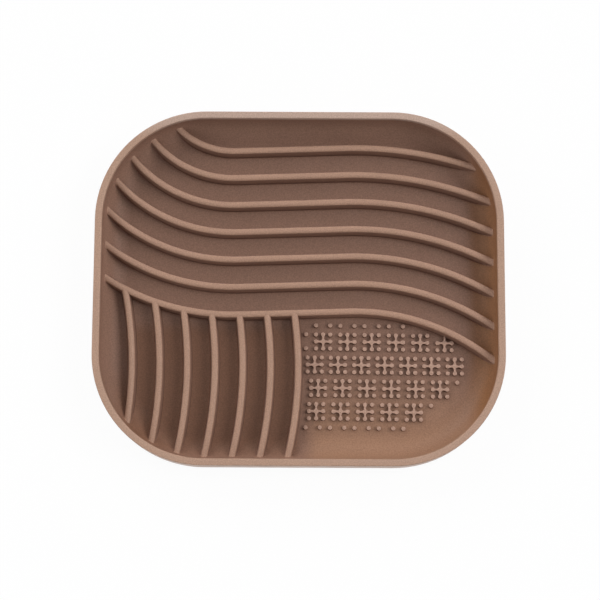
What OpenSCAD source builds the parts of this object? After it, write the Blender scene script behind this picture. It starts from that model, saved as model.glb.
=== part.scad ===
// Lick mat: a shallow silicone tray with ridges, cross treads and dots on its floor.
// The tray stands on four suction cups. The origin is at the middle of its box, on the
// plane that it stands on, with +X along the length, +Y across it and +Z up.

/* [Tray] */
// Length of the tray over its rim
tray_l = 210; // [190:1:240]
// Width of the tray over its rim
tray_w = 183; // [173:1:205]
// Height of the tray from its underside to the top of the rim
tray_h = 17.5; // [15:0.5:22]
// Corner radius of the tray seen from above
corner_r = 57; // [48:1:68]
// Thickness of the floor
floor_t = 2; // [1.6:0.1:3]
// Radius of the outer bottom edge
base_edge_r = 2.5; // [1:0.5:4]

/* [Rim] */
// Width of the flat band on top of the wall
rim_w = 3.6; // [2.8:0.1:5]
// Height of the band, above which the wall has no cove
rim_h = 2.5; // [1.5:0.1:3.5]
// Radius of the two top edges of the band
rim_edge_r = 0.9; // [0.4:0.1:1.3]

/* [Ridges] */
// Thickness of every ridge
ridge_t = 3.1; // [2.2:0.1:4]
// Height of every ridge above the floor
ridge_h = 7.5; // [4:0.5:9]
// Distance from the tray's long edge to the first wave ridge, at mid length
first_wave_gap = 17.6; // [14:0.1:20]
// Distance from the last wave ridge to the tray's other long edge, at mid length
lower_field_w = 79.7; // [76:0.1:84]
// Bend radius of the first wave ridge at its left bend
left_bend_r = 41; // [30:1:50]
// Bend radius of the last wave ridge at its right bend
right_bend_r = 110; // [90:1:140]
// Rise of the wave ridges between their bends, in degrees
mid_slope = 1.9; // [0:0.1:4]
// Distance from the tray's short edge to the first short ridge, where it bows furthest
first_short_gap = 19.9; // [18:0.1:24]
// Bow radius of the short ridges and the divider
bow_r = 197; // [150:1:300]

/* [Treads] */
// Height of the cross treads and dots above the floor
tread_h = 2; // [1:0.1:3.5]
// Distance from the middle of a cross to each of its arm ends
tread_step = 3.65; // [3:0.05:4]
// Diameter of a dot and of an arm end
dot_d = 2.2; // [1.6:0.1:2.7]
// Width of a cross arm
arm_w = 1; // [0.8:0.1:1.5]
// Width of the middle of a cross
hub_w = 2.4; // [1.8:0.1:3]
// Distance between neighbouring crosses in a row
cross_pitch = 12.5; // [11.5:0.05:14]
// Distance between neighbouring crosses in the tight second row
tight_pitch = 12; // [11:0.05:13]
// Distance between the rows of crosses
row_pitch = 12; // [11:0.1:14]
// Distance from the last wave ridge to the first row of crosses
first_row_gap = 15.2; // [13:0.1:17]
// Fall of the rows of crosses to the right, in degrees
row_fall = 0.5; // [0:0.1:1.5]
// Least distance from the middle of a dot or cross to a wave ridge's side
tread_gap = 3.45; // [2.8:0.05:4.2]
// Corner radius of the tread field, wider than the flat floor's own
field_corner_r = 49.5; // [42:0.5:56]
// Least distance from the middle of a dot to the edge of the tread field
field_gap = 0.5; // [0.3:0.1:3]

/* [Suction cups] */
// Diameter of a cup at its lip
cup_d = 30; // [20:1:36]
// Height of a cup, and of the tray's underside above the plane that it stands on
cup_h = 4.5; // [3.5:0.1:7]
// Thickness of the cup's skirt at its lip
lip_t = 0.8; // [0.5:0.1:1.2]
// Width of the flat ring that a cup stands on
lip_w = 1.5; // [1:0.1:3]
// Diameter of the neck that joins a cup to the tray
neck_d = 12; // [8:0.5:16]
// Height of the neck
neck_h = 1; // [0.5:0.1:1.6]
// Depth of the hollow under a cup
hollow_h = 2.4; // [1:0.1:2.6]
// Distance from a cup's middle to the tray's long and short edges
cup_inset = 43; // [38:1:50]

/* [Hidden] */
$fn = 96;
mocha = [0.65, 0.52, 0.45];
// How far a cut runs past what it cuts
overrun = 1;

// Levels above the plane that the mat stands on
floor_z = cup_h + floor_t;
top_z = cup_h + tray_h;
rim_z = top_z - rim_h;
// The cove is a quarter circle from the floor up to the rim band
cove_r = rim_z - floor_z;
wall_run = rim_w + cove_r;

// Where the wave ridges bend, along the tray's length from its middle
left_bend_x_share = -0.155;
right_bend_x_share = 0.105;
// Turn of a bend, enough to take every wave ridge out past the wall
bend_turn = 75;
wave_count = 7;
// Width and height of the core inside a wave ridge
core_w = ridge_t / 2;
core_h = ridge_h - ridge_t;
// Number of short ridges left of the divider, which stands at mid length
short_count = 6;
// Where the short ridges bow furthest to the right, across the width from its middle
bow_y_share = -0.228;
short_pitch = (tray_l / 2 - first_short_gap) / short_count;

// The wave ridges have a plan of their own, turned by their mid slope about the middle of
// the first one. There their middle runs lie along X, and each kind of bend has one centre.
wave_y = tray_w / 2 - first_wave_gap;
wave_pitch = (wave_y + tray_w / 2 - lower_field_w) * cos(mid_slope) / (wave_count - 1);
mid_run = tray_l * (right_bend_x_share - left_bend_x_share);
function run_y(i) = -(i - 1) * wave_pitch;
left_centre = [tray_l * left_bend_x_share, left_bend_r];
right_centre = [tray_l * right_bend_x_share, run_y(wave_count) - right_bend_r];
function left_r(i) = left_centre[1] - run_y(i);
function right_r(i) = run_y(i) - right_centre[1];

// A point of the waves' plan on the tray's plan, and the other way
function to_tray(q) =
    [q[0] * cos(mid_slope) - q[1] * sin(mid_slope),
        q[0] * sin(mid_slope) + q[1] * cos(mid_slope) + wave_y];
function to_wave(p) =
    [p[0] * cos(mid_slope) + (p[1] - wave_y) * sin(mid_slope),
        (p[1] - wave_y) * cos(mid_slope) - p[0] * sin(mid_slope)];

// Where the last wave ridge passes x on the tray's plan, left of its right bend
function last_wave_y(x) =
    let (c = to_tray(left_centre), r = left_r(wave_count))
    x > c[0] + r * sin(mid_slope) ?
        wave_y + run_y(wave_count) / cos(mid_slope) + x * tan(mid_slope) :
        c[1] - sqrt(pow(r, 2) - pow(x - c[0], 2));

// Distance from a point of the tread field to the middle of the last wave ridge
function wave_gap(p) =
    let (q = to_wave(p))
    q[0] < right_centre[0] ? run_y(wave_count) - q[1] : right_bend_r - norm(q - right_centre);

// Whether a point lies in the tread field, at least a margin inside its rounded edge
function in_field(p, margin) =
    let (
        field_r = max(field_corner_r, corner_r - wall_run),
        r = field_r - margin,
        past = [abs(p[0]) - tray_l / 2, abs(p[1]) - tray_w / 2] + [1, 1] * (wall_run + field_r)
    )
    max(past) <= r && (min(past) <= 0 || norm(past) <= r);

// Row 0 and row 5 are cut off by a ridge or the cove and keep only some of their dots.
// Each row starts its own way, given in crosses from the divider to its first middle.
row_start_shares = [0.99, 0.99, 0.67, 0.79, 0.71, 0.57];
row_pitches = [cross_pitch, cross_pitch, tight_pitch, cross_pitch, cross_pitch, cross_pitch];
// Places left of a row's first cross where only the dots stand
row_lead_counts = [0, 1, 0, 0, 0, 0];
// The corners of the square round a cross where its dots stand, as shares of its step
dot_corners = [for (x = [-1, 1], y = [-1, 1]) [x, y]];

function row_y(row) = last_wave_y(0) - first_row_gap - (row - 1) * row_pitch;
function spot(row, k) =
    let (x = (row_start_shares[row] + k) * row_pitches[row])
    [x, row_y(row) - x * tan(row_fall)];
function arm_end(turn) = tread_step * [cos(turn), sin(turn)];
function last_spot(row) = ceil(tray_l / 2 / row_pitches[row]);

function cross_fits(p) =
    wave_gap(p) >= ridge_t / 2 + tread_gap && in_field(p, tread_step + dot_d / 2 + field_gap);
function dot_fits(p) =
    wave_gap(p) >= ridge_t / 2 + tread_gap && in_field(p, field_gap);

// A rounded rectangle, as wide and long as given, with true round corners
module round_plan(l, w, r) {
    square([l - 2 * r, w], center = true);
    square([l, w - 2 * r], center = true);
    for (x = [-1, 1], y = [-1, 1])
        translate([x * (l / 2 - r), y * (w / 2 - r)]) circle(r);
}

// Sweeps a profile round the tray's outline. It lies at x below 0, from the outer face in.
module round_the_tray() {
    for (k = [0 : 3]) {
        side = k % 2 == 0 ? tray_l / 2 - corner_r : tray_w / 2 - corner_r;
        off = k % 2 == 0 ? tray_w / 2 : tray_l / 2;
        rotate([0, 0, k * 90]) {
            translate([-side, off, 0]) rotate([90, 0, 90]) linear_extrude(2 * side) children();
            translate([side, off - corner_r, 0])
                rotate_extrude(angle = 90) translate([corner_r, 0]) children();
        }
    }
}

module wall_profile() {
    difference() {
        union() {
            translate([-wall_run, cup_h]) square([wall_run - base_edge_r, rim_z - cup_h]);
            translate([-wall_run, cup_h + base_edge_r])
                square([wall_run, rim_z - cup_h - base_edge_r]);
            translate([-base_edge_r, cup_h + base_edge_r]) circle(base_edge_r);
        }
        translate([-wall_run, rim_z]) circle(cove_r);
    }
}

module rim_profile() {
    translate([-rim_w, rim_z]) square([rim_w, rim_h - rim_edge_r]);
    translate([rim_edge_r - rim_w, rim_z]) square([rim_w - 2 * rim_edge_r, rim_h]);
    for (x = [rim_edge_r - rim_w, -rim_edge_r])
        translate([x, top_z - rim_edge_r]) circle(rim_edge_r);
}

module floor_slab() {
    translate([0, 0, cup_h]) linear_extrude(floor_t)
        round_plan(tray_l - 2 * wall_run, tray_w - 2 * wall_run, corner_r - wall_run);
}

module wall_ring() {
    round_the_tray() wall_profile();
}

// The space over the floor and the cove, up to the foot of the rim band
module tray_room() {
    translate([0, 0, floor_z]) linear_extrude(cove_r)
        round_plan(tray_l - 2 * wall_run, tray_w - 2 * wall_run, corner_r - wall_run);
    round_the_tray() {
        intersection() {
            translate([-wall_run, rim_z]) circle(cove_r);
            translate([-wall_run, floor_z]) square(cove_r);
        }
        translate([-wall_run - overrun, floor_z]) square([overrun, cove_r]);
    }
}

// Trims what stands on the floor to the tray: it ends where it meets the floor and the cove
module seated_in_tray() {
    intersection() {
        children();
        tray_room();
    }
}

// Section of a ridge, from below the floor to its half round top
module ridge_profile() {
    translate([-ridge_t / 2, floor_z - overrun])
        square([ridge_t, ridge_h - ridge_t / 2 + overrun]);
    translate([0, floor_z + ridge_h - ridge_t / 2]) circle(ridge_t / 2);
}

// Square section as tall as a ridge, for cutting what ends against one
module band_profile(width) {
    translate([-width / 2, floor_z - overrun]) square([width, ridge_h + 2 * overrun]);
}

// Sweeps a profile along wave ridge i: round the left bend, along the middle run and round
// the right bend. A slim core runs on into both bends and makes the three one piece.
module along_wave(i) {
    translate([0, wave_y]) rotate(mid_slope) translate([left_centre[0], run_y(i)]) {
        translate([0, left_r(i)])
            rotate_extrude(angle = bend_turn, start = 270 - bend_turn)
                translate([left_r(i), 0]) children();
        rotate([90, 0, 90]) linear_extrude(mid_run) children();
        translate([-overrun, 0]) rotate([90, 0, 90]) linear_extrude(mid_run + 2 * overrun)
            translate([-core_w / 2, floor_z]) square([core_w, core_h]);
        translate([mid_run, -right_r(i)])
            rotate_extrude(angle = bend_turn, start = 90 - bend_turn)
                translate([right_r(i), 0]) children();
    }
}

module wave_ridge(i) {
    color(mocha) seated_in_tray() along_wave(i) ridge_profile();
}

// Sweeps a profile along a short ridge from the last wave ridge to the wall. Its middle
// stands at x where it bows furthest.
module along_bow(x) {
    bow_y = tray_w * bow_y_share;
    rough_x = x - bow_r + sqrt(pow(bow_r, 2) - pow(last_wave_y(x) - bow_y, 2));
    up = asin((last_wave_y(rough_x) - bow_y) / bow_r);
    down = asin((tray_w / 2 + bow_y) / bow_r);
    translate([x - bow_r, bow_y]) rotate_extrude(angle = up + down, start = -down)
        translate([bow_r, 0]) children();
}

module bowed_ridge(x) {
    color(mocha) difference() {
        seated_in_tray() along_bow(x) ridge_profile();
        along_wave(wave_count) band_profile(ridge_t);
    }
}

module short_ridge(i) {
    bowed_ridge((i - 1 - short_count) * short_pitch);
}

// A cross lying on the floor at p. An arm that would run into the wave ridge loses its end.
module cross_plan(p) {
    translate(p) {
        square([2 * tread_step, arm_w], center = true);
        square([arm_w, 2 * tread_step], center = true);
        rotate(45) square(hub_w, center = true);
        for (turn = [0 : 90 : 270])
            if (wave_gap(p + arm_end(turn)) > (ridge_t + dot_d) / 2)
                translate(arm_end(turn)) circle(dot_d / 2);
    }
}

module cross_treads(row) {
    color(mocha) difference() {
        translate([0, 0, floor_z]) linear_extrude(tread_h)
            for (k = [0 : last_spot(row)])
                if (cross_fits(spot(row, k))) cross_plan(spot(row, k));
        along_wave(wave_count) band_profile(ridge_t);
    }
}

module tread_dots() {
    color(mocha) translate([0, 0, floor_z])
        for (row = [0 : len(row_pitches) - 1], k = [-row_lead_counts[row] : last_spot(row)],
            corner = dot_corners) {
            place = spot(row, k) + tread_step * corner;
            if ((k >= 0 || corner[0] > 0) && dot_fits(place))
                translate(place) cylinder(tread_h, d = dot_d);
        }
}

module suction_cup(side_x, side_y) {
    color(mocha)
        translate([side_x * (tray_l / 2 - cup_inset), side_y * (tray_w / 2 - cup_inset), 0])
            rotate_extrude() polygon([
                [0, cup_h], [neck_d / 2, cup_h], [neck_d / 2, cup_h - neck_h],
                [cup_d / 2, lip_t], [cup_d / 2, 0], [cup_d / 2 - lip_w, 0], [0, hollow_h]
            ]);
}

module tray_floor() {
    color(mocha) floor_slab();
}

module tray_wall() {
    color(mocha) wall_ring();
}

module rim_band() {
    color(mocha) round_the_tray() rim_profile();
}

tray_floor();
tray_wall();
rim_band();
wave_ridge(1);  // wave_ridge_1
wave_ridge(2);  // wave_ridge_2
wave_ridge(3);  // wave_ridge_3
wave_ridge(4);  // wave_ridge_4
wave_ridge(5);  // wave_ridge_5
wave_ridge(6);  // wave_ridge_6
wave_ridge(7);  // wave_ridge_7
short_ridge(1);  // short_ridge_1
short_ridge(2);  // short_ridge_2
short_ridge(3);  // short_ridge_3
short_ridge(4);  // short_ridge_4
short_ridge(5);  // short_ridge_5
short_ridge(6);  // short_ridge_6
bowed_ridge(0);  // divider_ridge
cross_treads(1);  // cross_treads_row_1
cross_treads(2);  // cross_treads_row_2
cross_treads(3);  // cross_treads_row_3
cross_treads(4);  // cross_treads_row_4
tread_dots();
suction_cup(-1, 1);  // suction_cup_1
suction_cup(1, 1);  // suction_cup_2
suction_cup(-1, -1);  // suction_cup_3
suction_cup(1, -1);  // suction_cup_4
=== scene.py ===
import math

import bmesh
import bpy
from mathutils import Matrix, Vector


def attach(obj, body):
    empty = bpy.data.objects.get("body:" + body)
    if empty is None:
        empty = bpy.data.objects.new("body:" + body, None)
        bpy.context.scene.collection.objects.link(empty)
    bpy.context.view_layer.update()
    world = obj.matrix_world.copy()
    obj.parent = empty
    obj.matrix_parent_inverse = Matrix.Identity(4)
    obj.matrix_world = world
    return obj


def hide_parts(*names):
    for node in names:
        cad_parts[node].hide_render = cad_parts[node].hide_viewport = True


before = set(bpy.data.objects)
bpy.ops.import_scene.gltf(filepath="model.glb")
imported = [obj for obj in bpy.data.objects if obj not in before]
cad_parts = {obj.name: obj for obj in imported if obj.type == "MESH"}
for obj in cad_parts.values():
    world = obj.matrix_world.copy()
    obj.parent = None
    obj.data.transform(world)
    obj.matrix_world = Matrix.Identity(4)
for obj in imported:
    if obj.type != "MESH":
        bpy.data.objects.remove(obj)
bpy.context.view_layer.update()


# Camera. It looks at the mat from almost straight above and a little from the near long
# side, level with the picture but for a small turn, from just under 90 cm away.
mm = 0.001
look_at = Vector((0, 0, 22 * mm))
camera_distance = 890 * mm
camera_tilt = math.radians(9.5)
camera_turn = 0.005
picture_side = 600
focal_in_pixels = 1746.2
shift_in_pixels = (0.9, -14.24)
sensor_w = 36

camera_data = bpy.data.cameras.new("camera")
camera_data.sensor_width = sensor_w
camera_data.lens = sensor_w * focal_in_pixels / picture_side
camera_data.shift_x = shift_in_pixels[0] / picture_side
camera_data.shift_y = shift_in_pixels[1] / picture_side
camera = bpy.data.objects.new("camera", camera_data)
camera_back = Vector((0, -math.sin(camera_tilt), math.cos(camera_tilt)))
camera.matrix_world = (
    Matrix.Translation(look_at + camera_distance * camera_back)
    @ Matrix.Rotation(camera_tilt, 4, "X")
    @ Matrix.Rotation(camera_turn, 4, "Z")
)
bpy.context.scene.collection.objects.link(camera)
bpy.context.scene.camera = camera


# Silicone. The whole mat is one moulding of matt mocha silicone rubber with a fine mould
# grain and a slightly cloudy tone. Each kind of surface gets its own copy of the same rubber,
# with painted shade that makes the floor and cove deepest and painted light that makes the
# thin rim palest.
noise_low, noise_high = 0.3, 0.7
speckle_scale, speckle_detail = 1500, 1
cloud_scale, cloud_detail = 38, 3
sheen_scale, sheen_detail = 160, 2
# a tone swings this far each way, mostly by the speckle and the rest by the wide clouds
tone_swing = 0.16
speckle_share, cloud_share = 0.85, 0.15
sheen_swing = 0.05
grain_strength = 0.5
grain_depth = 0.02 * mm
silicone_ior = 1.41


def silicone_finish(name, tone, changes, roughness, gloss):
    """One finish of the rubber: its middle tone, its changes of tone, its middle roughness and
    its gloss. A change is the new tone, and for each axis where it starts and where it is full."""
    material = bpy.data.materials.new(name)
    material.use_nodes = True
    tree = material.node_tree
    shader = tree.nodes["Principled BSDF"]
    place = tree.nodes.new("ShaderNodeTexCoord")

    def noise(scale, detail):
        node = tree.nodes.new("ShaderNodeTexNoise")
        node.inputs["Scale"].default_value = scale
        node.inputs["Detail"].default_value = detail
        tree.links.new(place.outputs["Object"], node.inputs["Vector"])
        return node.outputs["Fac"]

    def spread(value, low, high):
        node = tree.nodes.new("ShaderNodeMapRange")
        node.inputs["From Min"].default_value = noise_low
        node.inputs["From Max"].default_value = noise_high
        node.inputs["To Min"].default_value = low
        node.inputs["To Max"].default_value = high
        tree.links.new(value, node.inputs["Value"])
        return node.outputs["Result"]

    def combined(operation, *values):
        node = tree.nodes.new("ShaderNodeMath")
        node.operation = operation
        for socket, value in zip(node.inputs, values):
            if isinstance(value, float):
                socket.default_value = value
            else:
                tree.links.new(value, socket)
        return node.outputs[0]

    speckle = noise(speckle_scale, speckle_detail)
    clouds = spread(noise(cloud_scale, cloud_detail), 0, cloud_share)
    shades = tree.nodes.new("ShaderNodeMix")
    shades.data_type = "RGBA"
    for socket, factor in (("A", 1 - tone_swing), ("B", 1 + tone_swing)):
        shades.inputs[socket].default_value = (*(factor * c for c in tone), 1)
    tree.links.new(combined("MULTIPLY_ADD", spread(speckle, 0, 1), speckle_share, clouds),
                   shades.inputs["Factor"])
    colour = shades.outputs["Result"]
    at = tree.nodes.new("ShaderNodeSeparateXYZ")
    tree.links.new(place.outputs["Object"], at.inputs[0])
    for new_tone, ramps in changes:
        share = None
        for axis, start, full in ramps:
            ramp = tree.nodes.new("ShaderNodeMapRange")
            ramp.interpolation_type = "SMOOTHSTEP"
            ramp.inputs["From Min"].default_value = start
            ramp.inputs["From Max"].default_value = full
            tree.links.new(at.outputs[axis], ramp.inputs["Value"])
            reached = ramp.outputs["Result"]
            share = combined("MULTIPLY", share, reached) if share else reached
        shades = tree.nodes.new("ShaderNodeMix")
        shades.data_type = "RGBA"
        shades.blend_type = "MULTIPLY"
        tree.links.new(colour, shades.inputs["A"])
        shades.inputs["B"].default_value = (*(new / old for new, old in zip(new_tone, tone)), 1)
        tree.links.new(share, shades.inputs["Factor"])
        colour = shades.outputs["Result"]
    tree.links.new(colour, shader.inputs["Base Color"])
    tree.links.new(spread(noise(sheen_scale, sheen_detail),
                          roughness - sheen_swing, roughness + sheen_swing),
                   shader.inputs["Roughness"])
    grain = tree.nodes.new("ShaderNodeBump")
    grain.inputs["Strength"].default_value = grain_strength
    grain.inputs["Distance"].default_value = grain_depth
    tree.links.new(speckle, grain.inputs["Height"])
    tree.links.new(grain.outputs["Normal"], shader.inputs["Normal"])
    shader.inputs["IOR"].default_value = silicone_ior
    shader.inputs["Specular IOR Level"].default_value = gloss
    return material


# The floor's top has painted light that makes it a little paler and warmer in the corner with
# the treads, and painted shade that makes it deeper between the short ridges and warmer up the
# right end. The rim has a painted sheen that makes it paler along the far side.
top_face = ("Z", 5 * mm, 6 * mm)
# painted shade: the floor and cove are darker than the tops and the rim, as they lie deep in their
# shade
floor_shaded_tone = (0.252, 0.142, 0.101)
# painted light: the floor is paler and warmer in the tread corner, where more light reaches it
tread_corner_painted_light = ((0.318, 0.176, 0.111), (
    ("X", 0, 12 * mm), ("Y", -34 * mm, -80 * mm), top_face))
# painted shade: the floor is deeper between the short ridges, where their shadows fall
short_ridge_painted_shade = ((0.213, 0.108, 0.068), (
    ("X", 2 * mm, -3 * mm), ("X", -96 * mm, -84 * mm),
    ("Y", -14 * mm, -24 * mm), ("Y", -92 * mm, -76 * mm), top_face))
# painted shade: the floor is deeper and warmer up the right end, which faces away from the light
right_end_painted_shade = ((0.232, 0.111, 0.056), (("X", 84 * mm, 96 * mm), top_face))
floor_finish = silicone_finish(
    "floor_silicone", floor_shaded_tone, (tread_corner_painted_light, short_ridge_painted_shade, right_end_painted_shade),
    roughness=0.42, gloss=0.15)
# painted light: the rim is paler than the rest of the rubber, as it stands highest in the light
rim_lit_tone = (0.414, 0.261, 0.189)
# painted sheen: the rim is paler along the far side, where it catches the lamp's reflection
far_side_painted_sheen = ((0.457, 0.322, 0.258), (("Y", 76 * mm, 87 * mm),))
rim_finish = silicone_finish(
    "rim_silicone", rim_lit_tone, (far_side_painted_sheen,), roughness=0.37, gloss=0.25)


# Tray floor: the flat sheet of silicone in the middle of the mat. It is moulded in one with
# the wall, so its top runs on a little way under the foot of the cove and no joint shows.
tray_l = 210 * mm
tray_w = 183 * mm
corner_r = 57 * mm
under_z = 4.5 * mm
floor_z = 6.5 * mm
rim_z = 19.5 * mm
top_z = 22 * mm
rim_w = 3.6 * mm
cove_r = rim_z - floor_z
wall_run = rim_w + cove_r
corner_steps = 24
side_steps = 6
merge_distance = 0.001 * mm
sharp_angle = math.radians(40)


def edge_gap(x, y):
    """How far a point of the plan lies inside the tray's outline."""
    past_x = abs(x) - (tray_l / 2 - corner_r)
    past_y = abs(y) - (tray_w / 2 - corner_r)
    outside = math.hypot(max(past_x, 0), max(past_y, 0))
    return corner_r - outside - min(max(past_x, past_y), 0)


def round_outline(inset, level):
    """Points round the tray, an inset inside its outline, anticlockwise from above."""
    points = []
    for k in range(4):
        side_x = (1, -1, -1, 1)[k]
        side_y = (1, 1, -1, -1)[k]
        centre = Vector((side_x * (tray_l / 2 - corner_r), side_y * (tray_w / 2 - corner_r)))
        for step in range(corner_steps + 1):
            turn = math.radians(90 * k + 90 * step / corner_steps)
            reach = corner_r - inset
            points.append((centre.x + reach * math.cos(turn),
                           centre.y + reach * math.sin(turn), level))
        last = Vector(points[-1])
        turn = math.radians(90 * (k + 1))
        next_x = (1, -1, -1, 1)[(k + 1) % 4] * (tray_l / 2 - corner_r)
        next_y = (1, 1, -1, -1)[(k + 1) % 4] * (tray_w / 2 - corner_r)
        first = Vector((next_x + (corner_r - inset) * math.cos(turn),
                        next_y + (corner_r - inset) * math.sin(turn), level))
        for step in range(1, side_steps):
            points.append(tuple(last.lerp(first, step / side_steps)))
    return points


def piece_from(name, mesh, node_name, finish=None):
    """Makes a mesh a finished silicone piece that stands for the named solid."""
    work = bmesh.new()
    work.from_mesh(mesh)
    bmesh.ops.remove_doubles(work, verts=work.verts, dist=merge_distance)
    bmesh.ops.recalc_face_normals(work, faces=work.faces)
    work.to_mesh(mesh)
    work.free()
    mesh.shade_smooth()
    mesh.set_sharp_from_angle(angle=sharp_angle)
    if finish:
        mesh.materials.append(finish)
    piece = bpy.data.objects.new(name, mesh)
    bpy.context.scene.collection.objects.link(piece)
    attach(piece, "root")
    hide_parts(node_name)
    return piece


def rings_mesh(name, rings):
    """A closed mesh from rings of as many points each, capped at both ends."""
    count = len(rings[0])
    points = [p for ring in rings for p in ring]
    faces = []
    for r in range(len(rings) - 1):
        for k in range(count):
            n = (k + 1) % count
            faces.append((r * count + k, r * count + n, (r + 1) * count + n, (r + 1) * count + k))
    faces.append(tuple(range(count))[::-1])
    faces.append(tuple((len(rings) - 1) * count + k for k in range(count)))
    mesh = bpy.data.meshes.new(name)
    mesh.from_pydata(points, [], faces)
    return mesh


floor_lap = 1 * mm
floor_rings = [
    round_outline(wall_run, under_z),
    round_outline(wall_run - floor_lap, (under_z + floor_z) / 2),
    round_outline(wall_run - floor_lap, floor_z),
]
piece_from("tray_floor_sheet", rings_mesh("tray_floor_sheet", floor_rings), "tray_floor",
           floor_finish)


# Tray wall and rim band: the wall rises from the floor in a quarter round cove, and the rim
# band stands on it. Both are one section swept round the outline, moulded with the floor.
def add_tree(name, sizes):
    """A new geometry tree with a geometry input, the named sizes and a geometry output."""
    tree = bpy.data.node_groups.new(name, "GeometryNodeTree")
    face = tree.interface
    face.new_socket("Geometry", in_out="INPUT", socket_type="NodeSocketGeometry")
    for label, kind in sizes:
        face.new_socket(label, in_out="INPUT", socket_type="NodeSocket" + kind)
    face.new_socket("Finish", in_out="INPUT", socket_type="NodeSocketMaterial")
    face.new_socket("Geometry", in_out="OUTPUT", socket_type="NodeSocketGeometry")
    start = tree.nodes.new("NodeGroupInput")
    end = tree.nodes.new("NodeGroupOutput")

    def node(kind, links=None, **settings):
        made = tree.nodes.new(kind)
        for key, value in settings.items():
            setattr(made, key, value)
        for socket, value in (links or {}).items():
            if isinstance(value, bpy.types.NodeSocket):
                tree.links.new(value, made.inputs[socket])
            else:
                made.inputs[socket].default_value = value
        return made

    def close(geometry):
        """Ends the tree: real geometry in the given finish."""
        real = node("GeometryNodeRealizeInstances", {"Geometry": geometry})
        dressed = node("GeometryNodeSetMaterial",
                       {"Geometry": real.outputs[0], "Material": start.outputs["Finish"]})
        tree.links.new(dressed.outputs[0], end.inputs["Geometry"])

    return tree, start.outputs, node, close


def grow(name, mesh, tree, sizes):
    """Runs a tree with these sizes on a mesh and gives the result as a plain mesh."""
    carrier = bpy.data.objects.new(name, mesh)
    bpy.context.scene.collection.objects.link(carrier)
    shape = carrier.modifiers.new("shape", "NODES")
    shape.node_group = tree
    for item in tree.interface.items_tree:
        if item.in_out == "INPUT" and item.name in sizes:
            shape[item.identifier] = sizes[item.name]
    carrier.update_tag()
    bpy.context.view_layer.update()
    ready = bpy.context.evaluated_depsgraph_get()
    plain = bpy.data.meshes.new_from_object(carrier.evaluated_get(ready), depsgraph=ready)
    plain.name = name
    carrier.modifiers.clear()
    bpy.data.objects.remove(carrier)
    return plain


def line_mesh(name, points, closed, **extras):
    """A mesh that is only a line of edges, with a value or a vector kept on each point."""
    count = len(points)
    edges = [(k, k + 1) for k in range(count - 1)]
    if closed:
        edges.append((count - 1, 0))
    mesh = bpy.data.meshes.new(name)
    mesh.from_pydata([tuple(p) + (0,) * (3 - len(p)) for p in points], edges, [])
    for label, values in extras.items():
        is_vector = not isinstance(values[0], (int, float))
        kept = mesh.attributes.new(label, "FLOAT_VECTOR" if is_vector else "FLOAT", "POINT")
        flat = [c for v in values for c in v] if is_vector else values
        kept.data.foreach_set("vector" if is_vector else "value", flat)
    return mesh


def arc(centre, radius, start, end, steps):
    """Points on an arc in the section's plane, from one angle in degrees to another."""
    turns = [math.radians(start + (end - start) * k / steps) for k in range(steps + 1)]
    return [(centre[0] + radius * math.cos(t), centre[1] + radius * math.sin(t)) for t in turns]


def skin_along_path(tree, given, node):
    """The section swept along the path, and the path's own place at each of its points."""
    path = node("GeometryNodeMeshToCurve", {"Mesh": given["Geometry"]})
    where = node("GeometryNodeInputPosition")
    held = node("GeometryNodeCaptureAttribute", {"Geometry": path.outputs[0]}, domain="POINT")
    held.capture_items.new("VECTOR", "Place")
    tree.links.new(where.outputs[0], held.inputs["Place"])
    section = node("GeometryNodeObjectInfo", {"Object": given["Section"]})
    section_line = node("GeometryNodeMeshToCurve", {"Mesh": section.outputs["Geometry"]})
    skin = node("GeometryNodeCurveToMesh", {
        "Curve": held.outputs["Geometry"], "Profile Curve": section_line.outputs[0],
        "Fill Caps": True})
    return skin.outputs[0], held.outputs["Place"]


def named(node, label, kind="FLOAT"):
    return node("GeometryNodeInputNamedAttribute", {"Name": label}, data_type=kind).outputs[0]


def sideways(node, place):
    """The path's point moved out by the section's distance, as its x and y."""
    step = node("ShaderNodeVectorMath", {0: named(node, "aside", "FLOAT_VECTOR")},
                operation="SCALE")
    step.id_data.links.new(named(node, "across"), step.inputs["Scale"])
    moved = node("ShaderNodeVectorMath", {0: place, 1: step.outputs[0]}, operation="ADD")
    return node("ShaderNodeSeparateXYZ", {0: moved.outputs[0]}).outputs


# The sweep: every point of the section keeps its own level, and goes out sideways from the
# path by its own distance along the direction that the path holds there.
sweep, given, node, close = add_tree("sweep_along_path", [("Section", "Object")])
skin, path_place = skin_along_path(sweep, given, node)
beside = sideways(node, path_place)
there = node("ShaderNodeCombineXYZ",
             {"X": beside["X"], "Y": beside["Y"], "Z": named(node, "level")})
put = node("GeometryNodeSetPosition", {"Geometry": skin, "Position": there.outputs[0]})
close(put.outputs[0])

tray_line = round_outline(0, 0)
tray_inwards = []
for p in tray_line:
    out_x = max(abs(p[0]) - (tray_l / 2 - corner_r), 0) * (1 if p[0] > 0 else -1)
    out_y = max(abs(p[1]) - (tray_w / 2 - corner_r), 0) * (1 if p[1] > 0 else -1)
    tray_inwards.append(-Vector((out_x, out_y, 0)).normalized())


def swept_round(name, section_points, finish):
    """Sweeps a section, given as distances in from the outline and levels, round the tray."""
    section_mesh = line_mesh(name + "_section", section_points, True,
                             across=[p[0] for p in section_points],
                             level=[p[1] for p in section_points])
    section_piece = bpy.data.objects.new(name + "_section", section_mesh)
    bpy.context.scene.collection.objects.link(section_piece)
    outline = line_mesh(name + "_path", tray_line, True, aside=tray_inwards)
    mesh = grow(name, outline, sweep, {"Section": section_piece, "Finish": finish})
    bpy.data.objects.remove(section_piece)
    return mesh


base_edge_r = 2.5 * mm
# the wall's top stands a little way up inside the rim band
tongue_inset = 0.6 * mm
tongue_z = rim_z + 0.3 * mm
cove_steps = 30
edge_steps = 8
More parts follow.
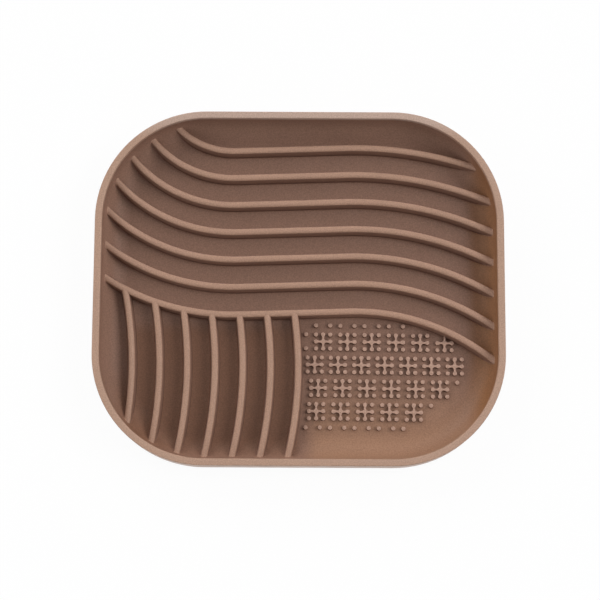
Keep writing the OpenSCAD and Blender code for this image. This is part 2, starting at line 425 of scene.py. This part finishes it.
# the sharp foot of the wall, under the floor sheet's edge, closes the section
wall_section = (
    arc((wall_run, rim_z), cove_r, 270, 180, cove_steps)
    + [(rim_w - tongue_inset, tongue_z), (tongue_inset, tongue_z)]
    + [(0, rim_z), (0, (rim_z + under_z) / 2)]
    + arc((base_edge_r, under_z + base_edge_r), base_edge_r, 180, 270, edge_steps)
    + [(wall_run / 2, under_z), (wall_run, under_z)]
)
wall_mesh = swept_round("tray_wall_cove", wall_section, floor_finish)
# outside, the wall is as smooth as the rim, and as pale by the rim's painted light
wall_mesh.materials.append(rim_finish)
for side in wall_mesh.polygons:
    if edge_gap(side.center.x, side.center.y) < base_edge_r and side.center.z < rim_z:
        side.material_index = 1
piece_from("tray_wall_cove", wall_mesh, "tray_wall")

rim_edge_r = 0.5 * mm
rim_section = (
    [(rim_w, rim_z), (rim_w, top_z - rim_edge_r)]
    + arc((rim_w - rim_edge_r, top_z - rim_edge_r), rim_edge_r, 0, 90, edge_steps)[1:]
    + arc((rim_edge_r, top_z - rim_edge_r), rim_edge_r, 90, 180, edge_steps)
    + [(0, rim_z)]
)
piece_from("rim_light_band", swept_round("rim_light_band", rim_section, rim_finish), "rim_band")


# Wave ridges: seven parallel ribs moulded up from the floor. Each follows an S across the
# tray, stays level on top, has a small round foot and runs out into the cove at both ends.
# The ridges' colour has painted shade, deeper on the flanks and deepest in the crease at the
# foot, and painted light that makes the top paler.
ridge_top_z = 14 * mm
# painted shade: a ridge's flanks are deeper than its top
ridge_side_shaded_tone = (0.236, 0.133, 0.096)
# painted shade in the crease at a ridge's foot
ridge_foot_painted_shade = ((0.150, 0.080, 0.056), (("Z", 10 * mm, 7 * mm),))
# painted light: a ridge's top is paler
ridge_top_painted_light = ((0.381, 0.228, 0.161), (("Z", 12.4 * mm, 13.4 * mm),))
ridge_finish = silicone_finish(
    "ridge_silicone", ridge_side_shaded_tone, (ridge_foot_painted_shade, ridge_top_painted_light), roughness=0.45, gloss=0.25)
ridge_half_w = 1.6 * mm
ridge_crown = 1 * mm
ridge_foot_half_w = 2.35 * mm
ridge_foot_r = 0.15 * mm
ridge_toe = 0.2 * mm
path_step = 0.4 * mm
path_end_gap = 2.9 * mm
buried = 0.04 * mm
under_floor_z = 5.5 * mm
# a section point this low always comes up to the tray's own surface
below_all = -50 * mm
# how near the cove's vertical end its height is still worked out
cove_reach_share = 0.998
ridge_fade = 3 * mm
ridge_blend = 0.12 * mm
crown_steps = 10
flank_shares = (0.25, 0.5, 0.75)
foot_steps = 6
# the foot height that marks the section's flat underside
underside = -1


def ridge_half_section():
    """Half a ridge's section from its crown to its foot: across, level, and foot height."""
    shoulder = ridge_top_z - ridge_crown
    points = [(ridge_half_w * x, shoulder + ridge_crown * z, 0)
              for x, z in arc((0, 0), 1, 90, 0, crown_steps)]
    for share in flank_shares:
        x = ridge_half_w + (ridge_foot_half_w - ridge_half_w) * share
        points.append((x, shoulder + (floor_z + ridge_foot_r - shoulder) * share, 0))
    centre = (ridge_foot_half_w + ridge_foot_r, ridge_foot_r)
    for x, rise in arc(centre, ridge_foot_r, 180, 270, foot_steps):
        points.append((x, below_all, rise))
    points.append((centre[0] + ridge_toe, below_all, -buried))
    return points


half = ridge_half_section()
ridge_points = half + [(half[-1][0], under_floor_z, underside)]
ridge_points += [(-x, z, rise) for x, z, rise in reversed(ridge_points[1:])]
ridge_section = line_mesh(
    "ridge_section", [(x, max(z, 0) + rise) for x, z, rise in ridge_points], True,
    across=[p[0] for p in ridge_points], level=[p[1] for p in ridge_points],
    foot=[max(p[2], -buried) for p in ridge_points],
    under=[1.0 if p[2] == underside else 0.0 for p in ridge_points])
ridge_section_piece = bpy.data.objects.new("ridge_section", ridge_section)
bpy.context.scene.collection.objects.link(ridge_section_piece)

# The ridge tree: as the sweep, but a point that lies below the floor or the cove is lifted to
# it with a soft blend, though never above the ridge's top. So a ridge sinks into the wall.
ridge_tree, given, node, close = add_tree("ridge_over_tray", [
    ("Section", "Object"), ("Tray length", "Float"), ("Tray width", "Float"),
    ("Corner radius", "Float"), ("Wall run", "Float"), ("Cove radius", "Float"),
    ("Cove top", "Float"), ("Ridge top", "Float"), ("Fade", "Float"), ("Blend", "Float"),
    ("Buried", "Float")])
skin, path_place = skin_along_path(ridge_tree, given, node)


def worked(operation, *values, clamp=False):
    made = node("ShaderNodeMath", dict(enumerate(values)), operation=operation)
    made.use_clamp = clamp
    return made.outputs[0]


beside = sideways(node, path_place)
less_corner = worked("MULTIPLY", given["Corner radius"], -1.0)
half_l = worked("MULTIPLY_ADD", given["Tray length"], 0.5, less_corner)
half_w = worked("MULTIPLY_ADD", given["Tray width"], 0.5, less_corner)
past_x = worked("SUBTRACT", worked("ABSOLUTE", beside["X"]), half_l)
past_y = worked("SUBTRACT", worked("ABSOLUTE", beside["Y"]), half_w)
corner = node("ShaderNodeCombineXYZ", {
    "X": worked("MAXIMUM", past_x, 0.0), "Y": worked("MAXIMUM", past_y, 0.0)})
corner_length = node("ShaderNodeVectorMath", {0: corner.outputs[0]}, operation="LENGTH")
outside = corner_length.outputs["Value"]
inside = worked("MINIMUM", worked("MAXIMUM", past_x, past_y), 0.0)
gap = worked("SUBTRACT", given["Corner radius"], worked("ADD", outside, inside))
up_cove = worked("MAXIMUM", worked("SUBTRACT", given["Wall run"], gap), 0.0)
up_cove = worked("MINIMUM", up_cove, worked("MULTIPLY", given["Cove radius"], cove_reach_share))
drop = worked("SQRT", worked("SUBTRACT", worked("POWER", given["Cove radius"], 2.0),
                             worked("POWER", up_cove, 2.0)))
tray_level = worked("SUBTRACT", worked("SUBTRACT", given["Cove top"], drop), given["Buried"])
tray_level = worked("MINIMUM", tray_level, given["Ridge top"])
left_over = worked("DIVIDE", worked("SUBTRACT", given["Ridge top"], tray_level), given["Fade"],
                   clamp=True)
foot_level = worked("MULTIPLY_ADD", named(node, "foot"), left_over, tray_level)
level = worked("SMOOTH_MAX", named(node, "level"), foot_level, given["Blend"])
shown = worked("SUBTRACT", 1.0, named(node, "under"))
level = worked("ADD", worked("MULTIPLY", shown, level),
               worked("MULTIPLY", named(node, "under"), named(node, "level")))
there = node("ShaderNodeCombineXYZ", {"X": beside["X"], "Y": beside["Y"], "Z": level})
put = node("GeometryNodeSetPosition", {"Geometry": skin, "Position": there.outputs[0]})
close(put.outputs[0])

ridge_sizes = {
    "Section": ridge_section_piece, "Tray length": tray_l, "Tray width": tray_w,
    "Corner radius": corner_r, "Wall run": wall_run, "Cove radius": cove_r,
    "Cove top": rim_z, "Ridge top": ridge_top_z, "Fade": ridge_fade, "Blend": ridge_blend,
    "Buried": buried, "Finish": ridge_finish}


def ridge_from(name, line, node_name):
    """Moulds one ridge along a line of plan points and stands it for its solid."""
    asides = []
    for k in range(len(line)):
        ahead = Vector(line[min(k + 1, len(line) - 1)]) - Vector(line[max(k - 1, 0)])
        asides.append(Vector((ahead.y, -ahead.x, 0)).normalized())
    path_mesh = line_mesh(name + "_path", line, False, aside=asides)
    return piece_from(name, grow(name, path_mesh, ridge_tree, ridge_sizes), node_name)


wave_count = 7
wave_pitch = 14.362 * mm
wave_y = 73.62 * mm
wave_slope = math.radians(1.864)
left_bend_x = -33.03 * mm
left_bend_r = 40.83 * mm
right_bend_x = 22.77 * mm
right_bend_r = 112.16 * mm
bend_growth = 0.958
bend_turn = 75


def wave_line(number):
    """Plan points of a wave ridge: round its left bend, along its middle, round its right."""
    run_y = -(number - 1) * wave_pitch
    left_r = left_bend_r - bend_growth * run_y
    right_r = right_bend_r + bend_growth * (run_y + (wave_count - 1) * wave_pitch)
    steps = int(math.radians(bend_turn) * left_r / path_step)
    line = arc((left_bend_x, run_y + left_r), left_r, 270 - bend_turn, 270, steps)
    steps = int((right_bend_x - left_bend_x) / path_step)
    line += [(left_bend_x + (right_bend_x - left_bend_x) * k / steps, run_y)
             for k in range(1, steps)]
    steps = int(math.radians(bend_turn) * right_r / path_step)
    line += arc((right_bend_x, run_y - right_r), right_r, 90, 90 - bend_turn, steps)
    turned = [(x * math.cos(wave_slope) - y * math.sin(wave_slope),
               x * math.sin(wave_slope) + y * math.cos(wave_slope) + wave_y) for x, y in line]
    return [Vector((x, y, 0)) for x, y in turned if edge_gap(x, y) > path_end_gap]


for number in range(1, wave_count + 1):
    ridge_from(f"wave_rib_{number}", wave_line(number), f"wave_ridge_{number}")


# Short ridges and divider: six bowed ribs and a seventh beside the treads, moulded as the
# wave ridges are. They hang from the last wave ridge and run out into the near cove.
short_count = 6
short_pitch = 85.1 * mm / short_count
bow_r = 197 * mm
bow_y = -41.724 * mm
# the bowed ridges are set out first, and then all moved by this
bow_shift = -0.2 * mm
last_wave = wave_line(wave_count)


def bow_line(x):
    """Plan points of a bowed ridge that stands at x where it bows furthest."""
    def at(y):
        return x + bow_shift - bow_r + math.sqrt(bow_r ** 2 - (y - bow_y) ** 2)

    top = min(last_wave, key=lambda p: abs(p.x - at(p.y))).y
    line = []
    y = top
    while edge_gap(at(y), y) > path_end_gap:
        line.append(Vector((at(y), y, 0)))
        y -= path_step
    return line


for number in range(1, short_count + 1):
    ridge_from(f"short_rib_{number}", bow_line((number - 1 - short_count) * short_pitch),
               f"short_ridge_{number}")
ridge_from("divider_rib", bow_line(0), "divider_ridge")
bpy.data.objects.remove(ridge_section_piece)


# Cross treads: low plus-shaped studs on the floor in four rows, each a small diamond hub
# with thin arms and round ends. They are moulded with the floor and all of one height, and
# their tops look much paler than their sides, by painted light on the tops and painted shade
# on the sides.
tread_h = 2 * mm
# painted shade: the treads' sides are dark, as they lie in shadow
tread_side_shaded_tone = (0.125, 0.060, 0.036)
# painted light: the treads' tops are pale
tread_top_painted_light = ((0.410, 0.255, 0.192), (("Z", 7.9 * mm, 8.4 * mm),))
tread_finish = silicone_finish(
    "tread_silicone", tread_side_shaded_tone, (tread_top_painted_light,), roughness=0.45, gloss=0.25)
tread_step = 3.65 * mm
dot_r = 1.1 * mm
arm_half_w = 0.5 * mm
hub_reach = 1.697 * mm
cross_soft = 0.5 * mm
cross_points = 104
cross_edge_r = 0.15 * mm
stud_foot_r = 0.15 * mm
all_ends = ((1, 0), (0, 1), (-1, 0), (0, -1))


def soft_min(a, b, blend):
    near = max(blend - abs(a - b), 0) / blend
    return min(a, b) - near * near * blend / 4


def cross_depth(x, y, ends):
    """Distance from a point of the plan to a cross's outline, below 0 inside it."""
    depth = (abs(x) + abs(y) - hub_reach) / math.sqrt(2)
    for end_x, end_y in all_ends:
        along = min(max(x * end_x + y * end_y, 0), tread_step)
        arm = math.hypot(x - along * end_x, y - along * end_y) - arm_half_w
        depth = soft_min(depth, arm, cross_soft)
        if (end_x, end_y) in ends:
            knob = math.hypot(x - tread_step * end_x, y - tread_step * end_y) - dot_r
            depth = soft_min(depth, knob, cross_soft)
    return depth


def cross_outline(ends, count):
    """Points round a cross and the outward direction at each, by walking its outline."""
    small = 0.001 * mm
    stride = 0.05 * mm
    first_strides = 20
    settling_moves = 4

    def outward(x, y):
        return Vector((cross_depth(x + small, y, ends) - cross_depth(x - small, y, ends),
                       cross_depth(x, y + small, ends) - cross_depth(x, y - small, ends),
                       0)).normalized()

    def onto(p):
        for _ in range(settling_moves):
            p = p - cross_depth(p.x, p.y, ends) * outward(p.x, p.y)
        return p

    first = onto(Vector((0, -tread_step - dot_r, 0)))
    walk = [first]
    while True:
        way = outward(walk[-1].x, walk[-1].y)
        step = onto(walk[-1] + stride * Vector((-way.y, way.x, 0)))
        if len(walk) > first_strides and (step - first).length < stride:
            break
        walk.append(step)
    lengths = [0]
    for k in range(len(walk)):
        lengths.append(lengths[-1] + (walk[(k + 1) % len(walk)] - walk[k]).length)
    points = []
    k = 0
    for n in range(count):
        target = lengths[-1] * n / count
        while lengths[k + 1] < target:
            k += 1
        share = (target - lengths[k]) / (lengths[k + 1] - lengths[k])
        points.append(onto(walk[k].lerp(walk[(k + 1) % len(walk)], share)))
    return points, [outward(p.x, p.y) for p in points]


def stud_rings(points, ways, edge_r):
    """Rings of a stud from its foot to the edge of its flat top."""
    foot_out, foot_up = 0.35 * stud_foot_r, 0.3 * stud_foot_r
    edge_in = 0.29 * edge_r
    steps = [(stud_foot_r, -buried), (foot_out, foot_up), (0, stud_foot_r)]
    steps += [(0, tread_h - edge_r), (-edge_in, tread_h - edge_in), (-edge_r, tread_h)]
    return [[tuple(p + out * w + Vector((0, 0, floor_z + z))) for p, w in zip(points, ways)]
            for out, z in steps]


# the last cross of the first row has no knob on its end towards the wave ridge
whole_cross = rings_mesh("whole_cross", stud_rings(
    *cross_outline(all_ends, cross_points), cross_edge_r))
cut_cross = rings_mesh("cut_cross", stud_rings(
    *cross_outline(((1, 0), (-1, 0), (0, -1)), cross_points), cross_edge_r))

tread_tree, given, node, close = add_tree("treads_in_row", [
    ("Count", "Int"), ("First place", "Vector"), ("Step", "Vector")])
places = node("GeometryNodeMeshLine", {
    "Count": given["Count"], "Start Location": given["First place"], "Offset": given["Step"]})
stood = node("GeometryNodeInstanceOnPoints",
             {"Points": places.outputs[0], "Instance": given["Geometry"]})
close(stood.outputs[0])

row_start_shares = (0.99, 0.99, 0.67, 0.79, 0.71, 0.57)
row_pitches = (12.5 * mm, 12.5 * mm, 12 * mm, 12.5 * mm, 12.5 * mm, 12.5 * mm)
cross_counts = (0, 6, 7, 6, 5, 0)
cross_rows = (1, 2, 3, 4)
row_pitch = 12 * mm
row_fall = math.tan(math.radians(0.5))
first_row_y = -27 * mm
# the rows are set out first, and then the whole field is moved by this
field_shift = Vector((0.13 * mm, 0.33 * mm, 0))


def tread_spot(row, k):
    x = (row_start_shares[row] + k) * row_pitches[row]
    return Vector((x, first_row_y - (row - 1) * row_pitch - x * row_fall, 0)) + field_shift


def joined(name, meshes):
    """Several meshes as one."""
    work = bmesh.new()
    for mesh in meshes:
        work.from_mesh(mesh)
    whole = bpy.data.meshes.new(name)
    work.to_mesh(whole)
    work.free()
    whole.materials.append(tread_finish)
    return whole


for row in cross_rows:
    whole_count = cross_counts[row] - (1 if row == 1 else 0)
    step = tread_spot(row, 1) - tread_spot(row, 0)
    parts = [grow(f"row_{row}_whole", whole_cross.copy(), tread_tree, {
        "Count": whole_count, "First place": tread_spot(row, 0), "Step": step,
        "Finish": tread_finish})]
    if row == 1:
        parts.append(grow("row_1_cut", cut_cross.copy(), tread_tree, {
            "Count": 1, "First place": tread_spot(row, whole_count), "Step": step,
            "Finish": tread_finish}))
    piece_from(f"cross_row_{row}", joined(f"cross_row_{row}", parts),
               f"cross_treads_row_{row}")


# Tread dots: small round studs as tall as the crosses, four round each cross, and more along
# the field's edges where no whole cross fits. They are moulded with the floor too.
dot_tree, given, node, close = add_tree("dots_on_places", [("Dot", "Object")])
dot_shape = node("GeometryNodeObjectInfo", {"Object": given["Dot"]})
spots = node("GeometryNodeMeshToPoints", {"Mesh": given["Geometry"]})
stood = node("GeometryNodeInstanceOnPoints",
             {"Points": spots.outputs[0], "Instance": dot_shape.outputs["Geometry"]})
close(stood.outputs[0])

row_lead_counts = (0, 1, 0, 0, 0, 0)
field_corner_r = 49.5 * mm
field_gap = 0.5 * mm
ridge_gap = 5 * mm
# the dots were set out from the middle of the last wave ridge: here that is a line, nearly
# level as far as its bend, that curves down to the right from there
edge_slope = math.radians(1.9)
edge_run_y = -85.37 * mm
edge_bend_x = 22.05 * mm
edge_bend_r = 110 * mm


def edge_ridge_gap(p):
    """Distance from a point of the field to the line that the dots were set out from."""
    x = p.x * math.cos(edge_slope) + (p.y - wave_y) * math.sin(edge_slope)
    y = (p.y - wave_y) * math.cos(edge_slope) - p.x * math.sin(edge_slope)
    if x < edge_bend_x:
        return edge_run_y - y
    return edge_bend_r - math.hypot(x - edge_bend_x, y - edge_run_y + edge_bend_r)


def in_field(p):
    radius = field_corner_r - field_gap
    past_x = abs(p.x) - tray_l / 2 + wall_run + field_corner_r
    past_y = abs(p.y) - tray_w / 2 + wall_run + field_corner_r
    return max(past_x, past_y) <= radius and (
        min(past_x, past_y) <= 0 or math.hypot(past_x, past_y) <= radius)


dot_places = []
for row in range(len(row_pitches)):
    for k in range(-row_lead_counts[row], math.ceil(tray_l / 2 / row_pitches[row]) + 1):
        for side_x, side_y in ((-1, -1), (-1, 1), (1, -1), (1, 1)):
            p = tread_spot(row, k) - field_shift + tread_step * Vector((side_x, side_y, 0))
            if (k >= 0 or side_x > 0) and in_field(p) and edge_ridge_gap(p) >= ridge_gap:
                dot_places.append(tuple(p + field_shift))

dot_sides = 16
dot_edge_r = 0.2 * mm
dot_turns = [2 * math.pi * k / dot_sides for k in range(dot_sides)]
dot_ways = [Vector((math.cos(turn), math.sin(turn), 0)) for turn in dot_turns]
dot_mesh = rings_mesh("dot", stud_rings([dot_r * way for way in dot_ways], dot_ways, dot_edge_r))
dot_piece = bpy.data.objects.new("dot", dot_mesh)
bpy.context.scene.collection.objects.link(dot_piece)
dot_field = bpy.data.meshes.new("dot_places")
dot_field.from_pydata(dot_places, [], [])
dot_field = grow("tread_dot_field", dot_field, dot_tree,
                 {"Dot": dot_piece, "Finish": tread_finish})
bpy.data.objects.remove(dot_piece)
piece_from("tread_dot_field", dot_field, "tread_dots")


# Suction cups: four shallow cups of the same silicone moulded under the floor, a thin flared
# skirt on a short neck, with a hollow that empties when the mat is pressed on a table.
cup_sides = 72
cup_x = 62 * mm
cup_y = 48.5 * mm
# all in millimetres: a neck under the floor, a skirt that curves out to the lip, and a hollow
neck_r, neck_flare, neck_top_z, neck_z = 6, 0.02, 4.5, 4.2
skirt_r, skirt_drop, skirt_curve = 6.1, 2.45, 1.3
bulge_drop, bulge_rate = 0.75, 6
skirt_shares = (0.04, 0.1, 0.17, 0.3, 0.45, 0.6, 0.75, 0.88, 0.97)
lip_points = [(15, 0.75), (14.95, 0.3), (14.8, 0), (13.6, 0)]
hollow_r, hollow_edge_z, hollow_rise = 13.5, 0.12, 2.28
hollow_shares = (0.05, 0.15, 0.3, 0.5, 0.7, 0.85)
cup_section = [(neck_r, neck_top_z), (neck_r + neck_flare, neck_z)]
for share in skirt_shares:
    bulge = bulge_drop * math.sin(math.pi / 2 * min(share * bulge_rate, 1))
    cup_section.append((skirt_r + (lip_points[0][0] - skirt_r) * share,
                        neck_z - bulge - skirt_drop * share ** skirt_curve))
cup_section += lip_points
cup_section += [(hollow_r * (1 - share),
                 hollow_edge_z + hollow_rise * math.sin(math.pi / 2 * share))
                for share in hollow_shares]


def suction_cup(name, x, y, node_name):
    rings = []
    for radius, level in cup_section:
        rings.append([(x + radius * mm * math.cos(2 * math.pi * k / cup_sides),
                       y + radius * mm * math.sin(2 * math.pi * k / cup_sides), level * mm)
                      for k in range(cup_sides)])
    return piece_from(name, rings_mesh(name, rings), node_name, floor_finish)


cup_number = 0
for side_y in (1, -1):
    for side_x in (-1, 1):
        cup_number += 1
        suction_cup(f"cup_{cup_number}", side_x * cup_x, side_y * cup_y,
                    f"suction_cup_{cup_number}")


# Stage: a plain white floor in a white surround, a soft lamp on the right, a weak cool one
# above, and a low ring of seven more, strongest at the far left. None of it is part of the mat.
floor_level = -0.02 * mm
floor_reach = 3
paper_glow = 0.95
surround_dim = 0.03
stage_mesh = bpy.data.meshes.new("stage_floor")
stage_mesh.from_pydata([(x * floor_reach, y * floor_reach, floor_level)
                        for x, y in ((-1, -1), (1, -1), (1, 1), (-1, 1))], [], [(0, 1, 2, 3)])
stage_floor = bpy.data.objects.new("stage_floor", stage_mesh)
bpy.context.scene.collection.objects.link(stage_floor)


def seen_directly(tree):
    """1 for rays from the camera, from gloss and through glass, and 0 for all others."""
    ray = tree.nodes.new("ShaderNodeLightPath")
    total = ray.outputs["Is Camera Ray"]
    for kind in ("Is Glossy Ray", "Is Transmission Ray"):
        more = tree.nodes.new("ShaderNodeMath")
        more.operation = "MAXIMUM"
        tree.links.new(total, more.inputs[0])
        tree.links.new(ray.outputs[kind], more.inputs[1])
        total = more.outputs[0]
    return total


paper = bpy.data.materials.new("white_paper")
paper.use_nodes = True
tree = paper.node_tree
paper_shader = tree.nodes["Principled BSDF"]
paper_shader.inputs["Base Color"].default_value = (0.9, 0.9, 0.9, 1)
paper_shader.inputs["Roughness"].default_value = 0.9
bright = tree.nodes.new("ShaderNodeEmission")
bright.inputs["Color"].default_value = (1, 1, 1, 1)
share = tree.nodes.new("ShaderNodeMath")
share.operation = "MULTIPLY"
share.inputs[1].default_value = paper_glow
tree.links.new(seen_directly(tree), share.inputs[0])
blend = tree.nodes.new("ShaderNodeMixShader")
tree.links.new(share.outputs[0], blend.inputs["Fac"])
tree.links.new(paper_shader.outputs[0], blend.inputs[1])
tree.links.new(bright.outputs[0], blend.inputs[2])
# the paper has no underside, so the cups can be seen from below
paper_side = tree.nodes.new("ShaderNodeNewGeometry")
one_sided = tree.nodes.new("ShaderNodeMixShader")
tree.links.new(paper_side.outputs["Backfacing"], one_sided.inputs["Fac"])
tree.links.new(blend.outputs[0], one_sided.inputs[1])
tree.links.new(tree.nodes.new("ShaderNodeBsdfTransparent").outputs[0], one_sided.inputs[2])
tree.links.new(one_sided.outputs[0], tree.nodes["Material Output"].inputs["Surface"])
stage_mesh.materials.append(paper)

# each lamp's turn from the right hand side, anticlockwise, its height, level, width and tint
plain, cool = (1, 1, 1), (0.84, 0.94, 1)
lamps = (
    (5, 46, 0.41, 30, plain), (52, 76, 0.11, 12, cool), (135, 26, 0.39, 50, plain),
    (180, 26, 0.24, 50, plain), (45, 26, 0.23, 50, plain), (90, 26, 0.155, 50, plain),
    (315, 26, 0.13, 50, plain), (225, 26, 0.12, 50, plain), (270, 26, 0.07, 50, plain))
for number, (turn, height, level, width, tint) in enumerate(lamps, 1):
    lamp_data = bpy.data.lights.new(f"soft_lamp_{number}", "SUN")
    lamp_data.angle = math.radians(width)
    lamp_data.energy = math.pi * level
    lamp_data.color = tint
    lamp = bpy.data.objects.new(f"soft_lamp_{number}", lamp_data)
    turn = math.radians(turn)
    height = math.radians(height)
    back = Vector((math.cos(turn) * math.cos(height), math.sin(turn) * math.cos(height),
                   math.sin(height)))
    lamp.matrix_world = back.to_track_quat("Z", "Y").to_matrix().to_4x4()
    bpy.context.scene.collection.objects.link(lamp)

world = bpy.data.worlds.new("surround")
world.use_nodes = True
bpy.context.scene.world = world
background = world.node_tree.nodes["Background"]
background.inputs["Color"].default_value = (1, 1, 1, 1)
# the surround is white where it is seen, and hardly lights the mat
surround_level = world.node_tree.nodes.new("ShaderNodeMapRange")
surround_level.inputs["To Min"].default_value = surround_dim
surround_level.inputs["To Max"].default_value = 1
world.node_tree.links.new(seen_directly(world.node_tree), surround_level.inputs["Value"])
world.node_tree.links.new(surround_level.outputs["Result"], background.inputs["Strength"])
bpy.context.scene.view_settings.view_transform = "Standard"
